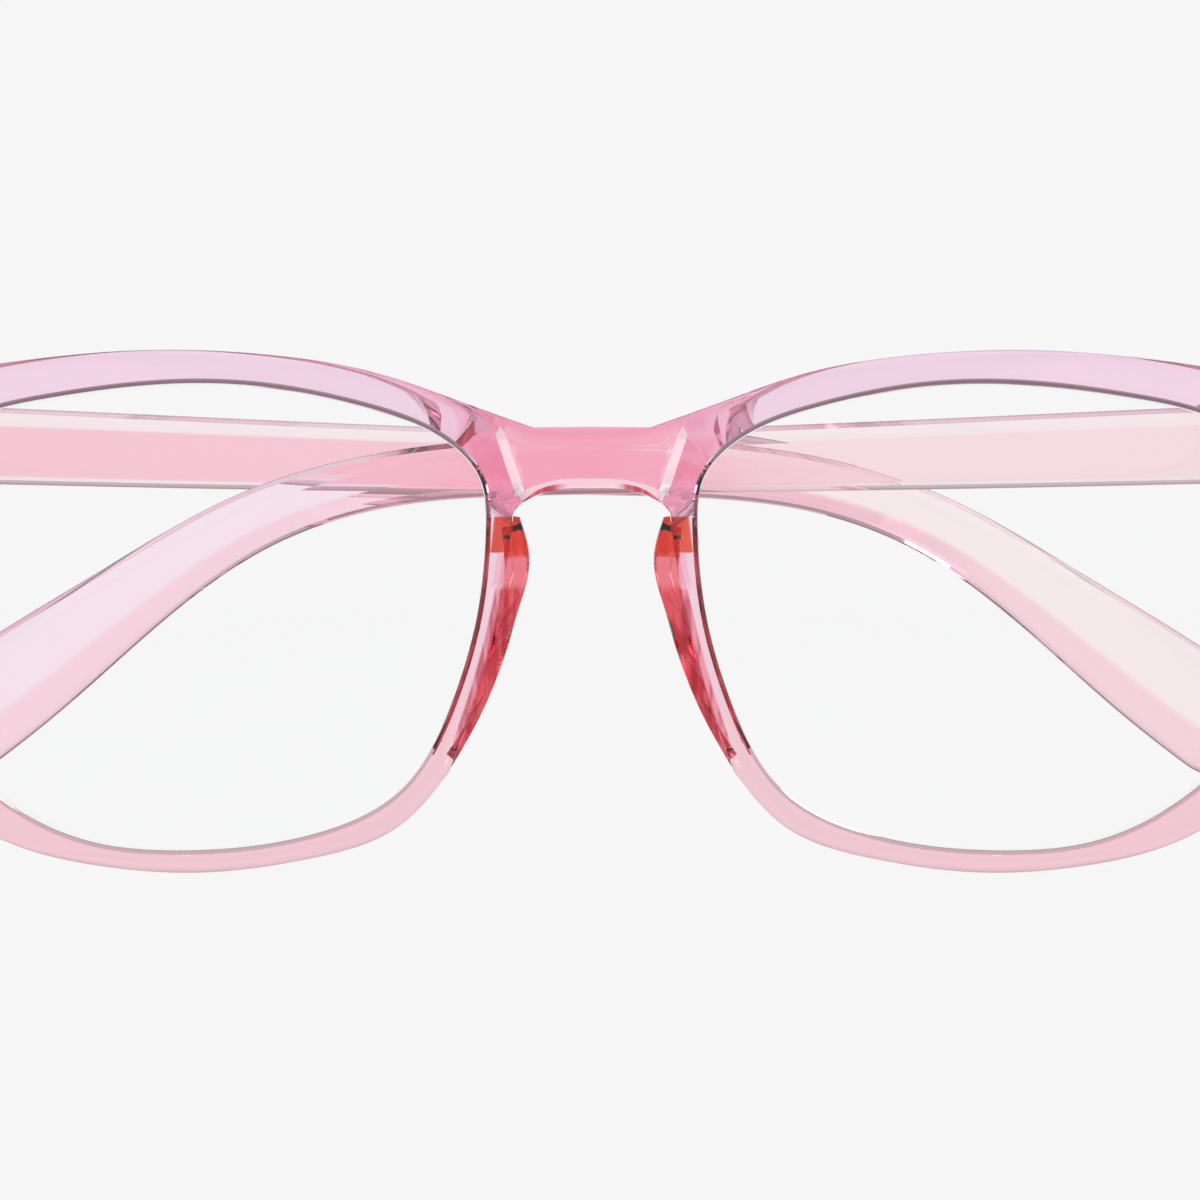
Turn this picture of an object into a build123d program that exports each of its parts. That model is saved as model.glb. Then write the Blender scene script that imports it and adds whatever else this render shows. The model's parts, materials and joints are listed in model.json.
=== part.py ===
from build123d import *

import math
import os

# Full-rim spectacles with moulded plastic frame, plain lenses and sprung temple hinges, folded.
# Millimetres. X runs across the face, the front looks towards -Y, Z is up.
# "left" and "right" are the wearer's, so the left side is at +X.
# The origin is under the middle of the whole folded object, level with the lowest point of the rims.

# Front
FRONT_WIDTH = 140.0
FRONT_THICKNESS = 3.8
FRONT_BOW_RADIUS = 420.0
EDGE_BEVEL = 0.45
BRIDGE_ARCH_Z = 34.1

# End pieces: the outer corners of the front, and the thicker block behind each
END_BOTTOM_Z = 34.2
END_TOP_Z = 41.0
END_TOP_ARC = 1.6
END_TOP_ARC_START = (68.6, 42.6)
END_TAPER = 0.6
END_BOTTOM_ARC_Z = 35.4
END_BOTTOM_ARC_WIDTH = 1.2
END_BOTTOM_ARC = 1.3
END_BOTTOM_INNER_X = 67.0
END_INNER_X = 62.8
END_REAR_Y = 10.5
BLOCK_SIDE_INSET = 0.35
BLOCK_BOTTOM_Z = 35.1
BLOCK_HEIGHT = 6.1
BLOCK_SLANT_FRONT = 2.6
BLOCK_SLANT_REAR = 0.6
BLOCK_INNER_SINK = 2.0
BLOCK_OUTER_SINK = 1.2
BLOCK_ROOT_SINK = 0.2

# Lenses
EYE_CENTRE_X = 36.0
EYE_CENTRE_Z = 22.7
LENS_RADIUS = 260.0
LENS_THICKNESS = 1.8
LENS_FORWARD = 0.45
LENS_GAP = 0.05
TONGUE_DEPTH = 0.7
TONGUE_THICKNESS = 0.8

# Nose pads
PAD_FRONT_Y = 0.9
PAD_REAR_Y = 9.4
PAD_NASAL_SPLAY = 1.6
PAD_OUTER_SPLAY = 1.0
PAD_SHRINK = 0.12
PAD_SHRINK_Z = 20.0

# Temples
HINGE_Z = 38.5
ARM_INSET = 1.6
ARM_ROOT_THICKNESS = 3.6
ARM_TIP_THICKNESS = 2.6
ARM_TIP_S = 100.0
LEFT_FOLD_DEG = 91.5
RIGHT_FOLD_DEG = 88.1

# Hinges, about the hinge axis
BUTT_GAP = 0.15
KNUCKLE_RADIUS = 1.3
EYE_HALF_HEIGHT = 0.65
KNUCKLE_GAP = 0.1
KNUCKLE_HEIGHT = 1.6
KNUCKLE_ROOT = 0.2
NECK_GAP = 0.1
LEAF_DEPTH = 1.2
LEAF_HALF_HEIGHT = 3.2
LEAF_OUTER_X = 1.3
LEAF_INNER_X = -1.1
LEAF_PLATE_WIDTH = 2.2
SCREW_RADIUS = 0.55
SCREW_HEAD_RADIUS = 1.05
SCREW_HEAD_HEIGHT = 0.55
SCREW_SLOT = 0.3
RUNNING_GAP = 0.05

# Spring housing, along the temple from the hinge axis
HOUSING_START = 1.5
HOUSING_LENGTH = 8.2
HOUSING_INNER_X = -0.7
HOUSING_OUTER_X = 2.2
HOUSING_HALF_HEIGHT = 1.6
HOUSING_CORNER = 0.35
ROD_X = 0.75
ROD_RADIUS = 0.5
ROD_START = 1.0
ROD_END = 8.4
BORE_RADIUS = 0.95
BORE_END_WALL = 1.0
BUSH_LENGTH = 1.0
NUT_LENGTH = 1.0
NUT_RADIUS = 0.85
WIRE_RADIUS = 0.12
COIL_RADIUS = 0.7
COIL_TURNS = 9

# Longer than any cut has to reach, so that it passes right through
PAST = 1.0
REACH = 20.0
TALL = 120.0
FAR = 140.0

HALF_WIDTH = FRONT_WIDTH / 2
HINGE_X = HALF_WIDTH - ARM_ROOT_THICKNESS - ARM_INSET
HINGE_Y = END_REAR_Y + ARM_INSET
SIDES = {"left": 1, "right": -1}
FOLD_DEG = {"left": LEFT_FOLD_DEG, "right": RIGHT_FOLD_DEG}

# One lens opening, from its nasal edge over the top and back, as X and Z
APERTURE = [
    (9.35, 30.6),
    (9.85, 34.9),
    (13.0, 38.4),
    (20.0, 41.3),
    (29.0, 43.1),
    (37.0, 43.4),
    (47.9, 42.2),
    (56.5, 39.9),
    (61.4, 36.0),
    (62.4, 29.0),
    (61.0, 19.5),
    (57.2, 10.9),
    (52.4, 6.4),
    (45.0, 2.8),
    (36.5, 1.9),
    (25.3, 3.2),
    (17.0, 7.2),
    (12.3, 15.3),
    (10.2, 22.5),
]

# Outer edge of the front from the bridge to the end piece
BROW = [(6.7, 39.5), (11.1, 41.6), (19.0, 44.3), (29.8, 46.05), (36.8, 46.4), (47.9, 45.8), (60.0, 44.1)]
BROW_TANGENTS = [(1, 0.15), (1, -0.2)]
# Outer edge from under the end piece, round the bottom of the rim to the foot of the nose pad
LOWER_RIM = [
    (66.2, 31.0),
    (65.4, 21.5),
    (61.6, 10.8),
    (53.9, 3.6),
    (43.4, 0.55),
    (35.0, 0.01),
    (25.3, 1.2),
    (17.0, 4.2),
    (12.6, 9.0),
]
# Nasal edge of the rim, behind the nose pad, up to the bridge arch
NASAL_RIM = [(12.6, 9.0), (9.9, 17.0), (8.0, 24.4), (7.4, 28.2), (7.0, 31.7)]
ARCH = [(6.2, 32.3), (4.6, 33.6), (2.8, 34.0)]

# Nose pad, seen from the front: its nasal edge going down, then its outer edge going up
PAD_NASAL = [(6.3, 31.6), (5.4, 27.7), (6.2, 24.0), (8.0, 18.1), (10.2, 13.1), (12.2, 9.6)]
PAD_OUTER = [(12.8, 10.2), (10.9, 14.0), (8.9, 20.0), (8.0, 26.0), (7.9, 31.6)]

# Temple seen from the side: distance from the hinge axis, and Z. It runs straight, bends down behind
# the ear and ends in a paddle, whose two edges are straight for a way too.
ARM_BUTT_TOP_Z = 42.0
ARM_BUTT_BOTTOM_Z = 34.9
ARM_TOP_BEND = [(70.0, 38.9), (84.0, 37.1), (96.5, 33.4), (107.3, 27.6)]
ARM_TIP = [(119.0, 20.6), (126.9, 13.4), (124.6, 8.4), (118.4, 9.0)]
ARM_BOTTOM_BEND = [(104.0, 21.8), (96.5, 28.0), (87.5, 31.9), (72.0, 33.6)]


def flipped(points):
    return [(-x, z) for x, z in reversed(points)]


def bow(x):
    """How far back the front surface lies at a distance x from the middle."""
    return FRONT_BOW_RADIUS - math.sqrt(FRONT_BOW_RADIUS**2 - x**2)


def bowed_slab(front_y, thickness):
    """A slab that bends back to both sides like the front does."""
    outer = Cylinder(FRONT_BOW_RADIUS - front_y, TALL)
    inner = Cylinder(FRONT_BOW_RADIUS - front_y - thickness, TALL)
    return Pos(0, FRONT_BOW_RADIUS, 0) * (outer - inner)


def prism(face, near_y, far_y):
    """A face drawn in X and Z, taken from one Y to the other."""
    return Pos(0, near_y, 0) * extrude(Plane.XZ * face, amount=-(far_y - near_y))


def grown(loop, amount):
    """The points of a clockwise loop, each moved outwards, square to its two neighbours."""
    moved = []
    for before, (x, z), after in zip(loop[-1:] + loop[:-1], loop, loop[1:] + loop[:1]):
        along = Vector(after[0] - before[0], after[1] - before[1]).normalized()
        moved.append((x - amount * along.Y, z + amount * along.X))
    return moved


def aperture_face(side, grow):
    points = [(side * x, z) for x, z in grown(APERTURE, grow)]
    return make_face(Spline(*points, periodic=True))


def front_outline():
    side_top = (HALF_WIDTH, END_TOP_Z)
    side_bottom = (HALF_WIDTH - END_TAPER, END_BOTTOM_ARC_Z)
    foot_outer = (side_bottom[0] - END_BOTTOM_ARC_WIDTH, END_BOTTOM_Z)
    foot_inner = (END_BOTTOM_INNER_X, END_BOTTOM_Z)
    half = [
        Spline(*BROW, tangents=BROW_TANGENTS),
        Line(BROW[-1], END_TOP_ARC_START),
        RadiusArc(END_TOP_ARC_START, side_top, END_TOP_ARC),
        Line(side_top, side_bottom),
        RadiusArc(side_bottom, foot_outer, END_BOTTOM_ARC),
        Line(foot_outer, foot_inner),
        Line(foot_inner, LOWER_RIM[0]),
        Spline(*LOWER_RIM),
        Spline(*NASAL_RIM),
        Line(NASAL_RIM[-1], ARCH[0]),
    ]
    bridge_top = Line((-BROW[0][0], BROW[0][1]), BROW[0])
    arch = Spline(*ARCH, (0, BRIDGE_ARCH_Z), *flipped(ARCH))
    other_half = [edge.mirror(Plane.YZ) for edge in half]
    return make_face(half + other_half + [bridge_top, arch])


def lens_shell(side, thickness):
    """The slice of a ball that a lens, or the tongue round it, is cut from."""
    tilt = math.asin(EYE_CENTRE_X / FRONT_BOW_RADIUS)
    middle_y = bow(EYE_CENTRE_X) + FRONT_THICKNESS / 2 - LENS_FORWARD
    centre = (
        side * (EYE_CENTRE_X - LENS_RADIUS * math.sin(tilt)),
        middle_y + LENS_RADIUS * math.cos(tilt),
        EYE_CENTRE_Z,
    )
    outer = Sphere(LENS_RADIUS + thickness / 2)
    inner = Sphere(LENS_RADIUS - thickness / 2)
    return Pos(*centre) * (outer - inner)


def lens_parts(side):
    """The clear plate, and the thinner tongue that stands out into the rim's groove."""
    plate = prism(aperture_face(side, -LENS_GAP), -REACH, REACH) & lens_shell(side, LENS_THICKNESS)
    tongue = prism(aperture_face(side, TONGUE_DEPTH), -REACH, REACH)
    tongue = tongue & lens_shell(side, TONGUE_THICKNESS)
    return plate, tongue


def end_block(side):
    """The thicker corner of the front that carries a hinge."""
    inner, outer = END_INNER_X, HALF_WIDTH - BLOCK_SIDE_INSET
    corner = Polyline(
        (side * (inner + BLOCK_SLANT_FRONT), bow(inner) + BLOCK_INNER_SINK),
        (side * outer, bow(outer) + BLOCK_OUTER_SINK),
        (side * outer, END_REAR_Y),
        (side * (inner + BLOCK_SLANT_REAR), END_REAR_Y),
        (side * inner, bow(inner) + FRONT_THICKNESS - BLOCK_ROOT_SINK),
        close=True,
    )
    return Pos(0, 0, BLOCK_BOTTOM_Z) * extrude(make_face(corner), amount=BLOCK_HEIGHT)


def nose_pad(side):
    """A fin beside the rim that spreads outwards and gets thinner as it runs back to the face."""

    def section(y, spread, outer_spread, shrink):
        nasal = [(side * (x + spread), z - shrink * (z - PAD_SHRINK_Z)) for x, z in PAD_NASAL]
        outer = [(side * (x + outer_spread), z - shrink * (z - PAD_SHRINK_Z)) for x, z in PAD_OUTER]
        edges = [
            Spline(*nasal),
            Line(nasal[-1], outer[0]),
            Spline(*outer),
            Line(outer[-1], nasal[0]),
        ]
        return Pos(0, y, 0) * (Plane.XZ * make_face(edges))

    root = section(PAD_FRONT_Y, 0, 0, 0)
    rear_edge = section(PAD_REAR_Y, PAD_NASAL_SPLAY, PAD_OUTER_SPLAY, PAD_SHRINK)
    return loft([root, rear_edge])


def sided(shape, side):
    """A piece drawn for the left hinge, or its mirror image for the right."""
    return shape if side > 0 else mirror(shape, about=Plane.YZ)


def at_hinge(shape, side_name, folded=False):
    """Takes a piece drawn round a hinge axis, temple open, to its place."""
    side = SIDES[side_name]
    turn = side * FOLD_DEG[side_name] if folded else 0
    return Pos(side * HINGE_X, HINGE_Y, HINGE_Z) * Rot(0, 0, turn) * shape


def upright(radius, low_z, high_z):
    """A round bar on the hinge axis."""
    return Pos(0, 0, low_z) * Cylinder(
        radius, high_z - low_z, align=(Align.CENTER, Align.CENTER, Align.MIN)
    )


def lengthways(radius, start, end):
    """A round bar along the rod of the spring hinge."""
    bar = Cylinder(radius, end - start, align=(Align.CENTER, Align.CENTER, Align.MIN))
    return Pos(ROD_X, start, 0) * Rot(-90, 0, 0) * bar


def block(low, high):
    size = [b - a for a, b in zip(low, high)]
    middle = [(a + b) / 2 for a, b in zip(low, high)]
    return Pos(*middle) * Box(*size)


def front_leaf():
    """The hinge half that is sunk into the front, with an upper and a lower knuckle."""
    low = EYE_HALF_HEIGHT + KNUCKLE_GAP
    high = low + KNUCKLE_HEIGHT
    rear = -ARM_INSET
    leaf = block(
        (LEAF_INNER_X - LEAF_PLATE_WIDTH, rear - LEAF_DEPTH, -LEAF_HALF_HEIGHT),
        (LEAF_OUTER_X, rear, LEAF_HALF_HEIGHT),
    )
    for bottom, top in ((low, high), (-high, -low)):
        leaf += upright(KNUCKLE_RADIUS, bottom, top)
        leaf += block((LEAF_INNER_X, rear - KNUCKLE_ROOT, bottom), (LEAF_OUTER_X, 0, top))
    return leaf - upright(SCREW_RADIUS, -high - PAST, high + PAST)


def hinge_screw():
    top = EYE_HALF_HEIGHT + KNUCKLE_GAP + KNUCKLE_HEIGHT
    screw = upright(SCREW_RADIUS, -top, top) + upright(SCREW_HEAD_RADIUS, top, top + SCREW_HEAD_HEIGHT)
    head_top = top + SCREW_HEAD_HEIGHT
    half_slot = SCREW_SLOT / 2
    slot = block(
        (-SCREW_HEAD_RADIUS - PAST, -half_slot, head_top - SCREW_SLOT),
        (SCREW_HEAD_RADIUS + PAST, half_slot, head_top + PAST),
    )
    return screw - slot


def hinge_carriage():
    """The sliding half of the hinge: a knuckle and the rod that runs in the housing."""
    carriage = upright(KNUCKLE_RADIUS, -EYE_HALF_HEIGHT, EYE_HALF_HEIGHT)
    neck_end = HOUSING_START - NECK_GAP
    carriage += block(
        (ROD_X - ROD_RADIUS, 0, -EYE_HALF_HEIGHT), (KNUCKLE_RADIUS, neck_end, EYE_HALF_HEIGHT)
    )
    carriage += lengthways(ROD_RADIUS, ROD_START, ROD_END)
    return carriage - upright(SCREW_RADIUS + RUNNING_GAP, -KNUCKLE_RADIUS, KNUCKLE_RADIUS)


def housing_body():
    body = block(
        (HOUSING_INNER_X, HOUSING_START, -HOUSING_HALF_HEIGHT),
        (HOUSING_OUTER_X, HOUSING_START + HOUSING_LENGTH, HOUSING_HALF_HEIGHT),
    )
    return fillet(body.edges().filter_by(Axis.Y), HOUSING_CORNER)


def spring_housing():
    bore_end = HOUSING_START + HOUSING_LENGTH - BORE_END_WALL
    return housing_body() - lengthways(BORE_RADIUS, HOUSING_START - PAST, bore_end)


def spring_bush():
    end = HOUSING_START + BUSH_LENGTH
    sleeve = lengthways(BORE_RADIUS, HOUSING_START, end)
    return sleeve - lengthways(ROD_RADIUS + RUNNING_GAP, 0, end + PAST)


def stop_nut():
    start = ROD_END - NUT_LENGTH
    return lengthways(NUT_RADIUS, start, ROD_END) - lengthways(ROD_RADIUS, 0, ROD_END + PAST)


def coil_spring():
    """Between the bush and the nut, so that it is squeezed when the temple is pulled out."""
    start = HOUSING_START + BUSH_LENGTH + WIRE_RADIUS
    length = ROD_END - NUT_LENGTH - WIRE_RADIUS - start
    path = Helix(pitch=length / COIL_TURNS, height=length, radius=COIL_RADIUS)
    wire = Plane(origin=path @ 0, z_dir=path % 0) * Circle(WIRE_RADIUS)
    coil = sweep(wire, path=path, is_frenet=True)
    return Pos(ROD_X, start, 0) * Rot(-90, 0, 0) * coil


def temple_arm(side):
    """The open arm, drawn round its hinge axis: straight to the ear, then down to a flat paddle."""
    butt = -ARM_INSET + BUTT_GAP
    butt_top = (butt, ARM_BUTT_TOP_Z)
    butt_bottom = (butt, ARM_BUTT_BOTTOM_Z)
    top = Line(butt_top, ARM_TOP_BEND[0])
    slope = Line(ARM_TOP_BEND[-1], ARM_TIP[0])
    under = Line(ARM_TIP[-1], ARM_BOTTOM_BEND[0])
    bottom = Line(ARM_BOTTOM_BEND[-1], butt_bottom)
    outline = [
        top,
        Spline(*ARM_TOP_BEND, tangents=[top % 1, slope % 0]),
        slope,
        Spline(*ARM_TIP, tangents=[slope % 1, under % 0]),
        under,
        Spline(*ARM_BOTTOM_BEND, tangents=[under % 1, bottom % 0]),
        bottom,
        Line(butt_bottom, butt_top),
    ]
    face = Pos(0, 0, -HINGE_Z) * (Plane.YZ * make_face(outline))
    arm = Pos(side * ARM_INSET, 0, 0) * extrude(face, amount=side * ARM_ROOT_THICKNESS)
    past = ARM_ROOT_THICKNESS + PAST
    thinning = Polyline(
        (side * (ARM_INSET + ARM_ROOT_THICKNESS), 0),
        (side * (ARM_INSET + ARM_TIP_THICKNESS), ARM_TIP_S),
        (side * (ARM_INSET + ARM_TIP_THICKNESS), FAR),
        (side * (ARM_INSET + past), FAR),
        (side * (ARM_INSET + past), 0),
        close=True,
    )
    return arm - Pos(0, 0, -HINGE_Z) * extrude(make_face(thinning), amount=TALL)


def opening_loops(shape):
    """The edges of the two lens openings, on the front and the back."""
    broad_faces = shape.faces().sort_by(SortBy.AREA)[-2:]
    return [loop for face in broad_faces for loop in face.inner_wires()]


def build_front():
    face = front_outline()
    for side in SIDES.values():
        face -= aperture_face(side, 0)
    front = prism(face, -REACH, REACH) & bowed_slab(0, FRONT_THICKNESS)
    front = chamfer([edge for loop in opening_loops(front) for edge in loop.edges()], EDGE_BEVEL)
    for side in SIDES.values():
        front += end_block(side)
    return front


def build_all():
    pieces = {}
    front = build_front()
    for name, side in SIDES.items():
        plate, tongue = lens_parts(side)
        pieces[f"lens_{name}"] = plate + tongue
        front -= tongue
        leaf = at_hinge(sided(front_leaf(), side), name)
        pieces[f"hinge_leaf_{name}"] = leaf
        front -= leaf
        pieces[f"hinge_screw_{name}"] = at_hinge(sided(hinge_screw(), side), name)
        moving = {
            "hinge_carriage": sided(hinge_carriage(), side),
            "spring_housing": sided(spring_housing(), side),
            "spring_bush": sided(spring_bush(), side),
            "stop_nut": sided(stop_nut(), side),
            "hinge_spring": sided(coil_spring(), side),
            "temple": temple_arm(side) - sided(housing_body(), side),
        }
        for piece, shape in moving.items():
            pieces[f"{piece}_{name}"] = at_hinge(shape, name, folded=True)
    for name, side in SIDES.items():
        pieces[f"nose_pad_{name}"] = nose_pad(side) - front
    pieces["front_frame"] = front
    return pieces


def main():
    pieces = build_all()
    boxes = [shape.bounding_box() for shape in pieces.values()]
    near_y, far_y = min(box.min.Y for box in boxes), max(box.max.Y for box in boxes)
    centre_y = (near_y + far_y) / 2
    os.makedirs("parts", exist_ok=True)
    for name, shape in pieces.items():
        export_step(Pos(0, -centre_y, 0) * shape, f"parts/{name}.step")
    print("depth", round(far_y - near_y, 3), "low z", round(min(box.min.Z for box in boxes), 3))
    print("hinge axis at x", round(HINGE_X, 3), "y", round(HINGE_Y - centre_y, 3), "z", HINGE_Z)


main()
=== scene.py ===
import json
import math

import bmesh
import bpy
import numpy as np
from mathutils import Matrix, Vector
from mathutils.geometry import delaunay_2d_cdt


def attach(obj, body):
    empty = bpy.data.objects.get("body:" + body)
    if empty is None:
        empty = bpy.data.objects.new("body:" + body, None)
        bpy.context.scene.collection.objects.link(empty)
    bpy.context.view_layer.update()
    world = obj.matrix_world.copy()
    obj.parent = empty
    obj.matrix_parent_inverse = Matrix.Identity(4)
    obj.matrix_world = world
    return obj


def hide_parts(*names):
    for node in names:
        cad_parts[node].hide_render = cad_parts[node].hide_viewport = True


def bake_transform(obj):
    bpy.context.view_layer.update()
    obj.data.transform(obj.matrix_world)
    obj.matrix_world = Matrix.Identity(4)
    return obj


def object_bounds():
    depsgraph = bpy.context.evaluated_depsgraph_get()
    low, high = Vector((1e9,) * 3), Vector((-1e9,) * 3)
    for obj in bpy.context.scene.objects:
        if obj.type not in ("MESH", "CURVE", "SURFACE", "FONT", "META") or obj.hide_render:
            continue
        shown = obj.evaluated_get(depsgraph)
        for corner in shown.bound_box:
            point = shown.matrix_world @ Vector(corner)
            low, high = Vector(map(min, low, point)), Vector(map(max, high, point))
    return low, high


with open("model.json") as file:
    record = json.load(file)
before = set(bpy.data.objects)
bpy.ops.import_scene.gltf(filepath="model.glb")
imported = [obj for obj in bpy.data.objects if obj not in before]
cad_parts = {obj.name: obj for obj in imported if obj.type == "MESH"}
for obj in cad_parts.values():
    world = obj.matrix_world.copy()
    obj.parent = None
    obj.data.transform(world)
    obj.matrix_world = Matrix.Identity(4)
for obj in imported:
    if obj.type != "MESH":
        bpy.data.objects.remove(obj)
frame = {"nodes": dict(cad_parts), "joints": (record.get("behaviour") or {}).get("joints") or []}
cad_low, cad_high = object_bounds()

# Folded full-rim glasses. Metres, in the frame's axes: X across the face, the front looks along -Y, Z up.
MM = 0.001
SIDES = {"left": 1, "right": -1}

# Driving sizes of the plastic, in millimetres
BOW_RADIUS = 420.0
THICKNESS = 3.8
# Bevels as width across the face and depth into it
EDGE_BEVEL = (0.85, 0.42)
OPENING_BEVEL = (0.28, 0.28)
# Width of the thin ring at the front's outer edge that carries its painted shade
OUTLINE = 0.13
HALF_WIDTH = 70.0
END_BOTTOM_Z = 34.2
END_TOP_Z = 42.2
END_INNER_X = 62.8
BRIDGE_EXTRA = 1.9
END_REAR_Y = 10.5
GROOVE_DEPTH = 0.42
GROOVE_HALF = 0.5
LENS_MIDDLE_Y = 1.75
# The bridge is thicker inside these limits of X and Z, and its front steps end at a height
BRIDGE_THICK_X = (5.0, 11.0)
BRIDGE_THICK_Z = (30.0, 34.0)
BRIDGE_FOOT_Z = 32.9
# How the thick end piece eases into the rim, and how far it stays inside the CAD's rear face
END_EASE_X = (0.3, 0.6)
END_EASE_Z = 0.8
END_CLEARANCE = 0.02
# Distance between points along an outline
SAMPLE_STEP = 0.55

# The front surface at the middle of the bridge touches the CAD box's near side
FRONT_Y = cad_low.y / MM

# One lens opening, clockwise from its nasal edge
APERTURE = [
    (9.35, 30.6), (9.85, 34.9), (13.0, 38.4), (20.0, 41.3), (29.0, 43.1), (37.0, 43.4), (47.9, 42.2),
    (56.5, 39.9), (61.4, 36.0), (62.4, 29.0), (61.0, 19.5), (57.2, 10.9), (52.4, 6.4), (45.0, 2.8),
    (36.5, 1.9), (25.3, 3.2), (17.0, 7.2), (12.3, 15.3), (10.2, 22.5),
]
BROW = [(11.1, 41.6), (19.0, 44.3), (29.8, 46.05), (36.8, 46.4), (47.9, 45.8), (60.0, 44.1)]
LOWER_RIM = [
    (66.2, 31.0), (65.4, 21.5), (61.6, 10.8), (53.9, 3.6), (43.4, 0.55), (35.0, 0.01), (25.3, 1.2),
    (17.0, 4.2), (12.6, 9.0),
]
NASAL_RIM = [(12.6, 9.0), (9.9, 17.0), (8.0, 24.4), (7.4, 28.2), (7.0, 31.7)]
ARCH = [(4.6, 33.6), (2.8, 34.0), (0.0, 34.1)]
ARCH_CORNER = (6.75, 32.7)
ARCH_SAMPLE_STEP = 0.35

# Top of the bridge, where the brow starts, and round the end piece from its top to the lower rim
BRIDGE_TOP = (0.0, 39.55)
BROW_START = (5.2, 39.5)
END_TOP = (HALF_WIDTH - 1.6, 42.65)
END_TOP_CORNER = (HALF_WIDTH - 0.1, 42.4)
END_SIDE_TOP = (HALF_WIDTH, 41.0)
END_SIDE_FOOT = (HALF_WIDTH - 0.6, 35.4)
END_FOOT_CORNER = (HALF_WIDTH - 0.7, END_BOTTOM_Z)
END_UNDERSIDE = (HALF_WIDTH - 1.9, END_BOTTOM_Z)
RIM_CORNER = (66.5, END_BOTTOM_Z)

# Where the bridge steps back from the rims: the step's top and foot, and how wide and deep it is
STEP_TOP = (8.3, 39.6)
STEP_FOOT = (6.2, 33.2)
STEP_WIDTH = 0.9
STEP_DEPTH = 0.6

# Faces of the front that are painted. How far they lean back, as the Y of their normal
LEANING = (-0.95, -0.3)
# The arch's band with its painted highlight: how far it faces down, its half width, and its heights
ARCH_FACING = -0.2
ARCH_HALF = 6.4
ARCH_Z = (31.9, 35.6)
# The steps' band with its painted highlight: its margin and its heights
STEP_MARGIN = 0.05
STEP_PALE_Z = (33.2, 39.3)
# Painted shade: the dark lip round an opening, and the fainter dark outline round the front
LIP_REACH = 0.36
LIP_DEPTH = 0.6
OUTLINE_REACH = 2.2 * OUTLINE
OUTLINE_LEAN = -0.92
OUTLINE_SHADE_SHARE = 0.35

# Points inside the front's broad faces: along the steps, on the bridge and on the end pieces
STEP_LINE_Z = (33.7, 38.9, 9)
BRIDGE_GRID_X = 7.0
BRIDGE_GRID_STEP = 1.0
BRIDGE_GRID_Z = (35.3, 36.5, 37.7)
END_GRID_STEP = 0.6
END_GRID_X = 69.4
END_GRID_Z = END_BOTTOM_Z + 0.2

# Temple: middle line (distance from the hinge axis, Z) and its height square to that line
ARM_LINE = [(-1.45, 38.45), (15.0, 37.9), (47.0, 36.9), (70.0, 36.2), (84.0, 34.8), (95.0, 31.3),
            (105.6, 24.7), (115.8, 17.2), (125.4, 10.4)]
ARM_HEIGHT = [7.1, 6.8, 5.95, 5.3, 4.95, 5.5, 6.9, 9.1, 9.9]
ARM_INSET = 1.6
TIP_ROUND = 5.0
TIP_LEAST = 0.004
# Its thickness tapers between two distances from the hinge axis
ARM_TAPER_S = (0.0, 100.0)
ARM_TAPER = (3.6, 2.6)
# Its section: bevels as height and depth, at full size from a height of SECTION_FULL
SECTION_FULL = 4.0
INNER_BEVEL = 0.4
TOP_BEVEL = (1.6, 0.85)
LOW_BEVEL = (0.8, 0.45)
LOW_FALL = 0.3
# The ridge of the outer face, below the middle as a share of the height
RIDGE = 0.14
ARM_STATIONS = 120
TIP_STATIONS = 14

# Nose pad, seen from the front, and how it spreads outwards on its way back
PAD_NASAL = [(6.3, 31.6), (5.4, 27.7), (6.2, 24.0), (8.0, 18.1), (10.2, 13.1), (12.2, 9.6)]
PAD_OUTER = [(12.8, 10.2), (10.9, 14.0), (8.9, 20.0), (8.0, 26.0), (7.9, 31.6)]
PAD_FRONT_Y = 0.9
PAD_REAR_Y = 9.3
PAD_NASAL_SPLAY = 1.6
PAD_OUTER_SPLAY = 1.0
PAD_SHRINK = 0.12
PAD_SHRINK_Z = 20.0
PAD_GAP = 0.06
PAD_SAMPLE_STEP = 0.45
PAD_LEAST = 0.12
PAD_FRONT_ROUND = 0.35
# Rounding at the pad's rear: where it starts, then how far in the edge is at a distance from the rear
PAD_REAR_START = 0.5
PAD_REAR_ROUND = ((0.15, 0.15), (0.5, 0.0))

LENS_THICKNESS = 1.8
LENS_GAP = 0.08
LENS_BEVEL = 0.32
LENS_BEVEL_HALF = 0.42
LENS_BULGE = 0.6
LENS_SAMPLE_STEP = 0.8

# Studio, in metres and in scene brightness
BACKDROP = 0.925
CEILING = 0.35
FLOOR_GLOW = 0.895
VIEW_WIDTH = 0.10638
VIEW_X = 0.00074
VIEW_Z = 0.0242
LENS_LENGTH = 300.0
SENSOR_WIDTH = 36.0
RIMS_BEHIND_FRONT = 1.5 * MM
# Soft boxes: name, place, size and watts, all facing one point
LIT_POINT = (0, 0, 0.022)
LIGHTS = [
    ("soft_top", (0.0, -0.7, 1.2), (0.9, 0.5), 1.2),
    ("soft_back", (0.6, 0.8, 0.8), (0.6, 0.4), 3.0),
    ("soft_side_left", (1.1, -0.45, 0.12), (0.5, 0.7), 3.0),
    ("soft_side_right", (-1.1, -0.45, 0.12), (0.5, 0.7), 3.0),
]
# Hinge parts that keep the CAD's shape
HINGE_PARTS = ("hinge_leaf", "hinge_screw", "hinge_carriage", "stop_nut", "spring_bush", "spring_housing")
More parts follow.
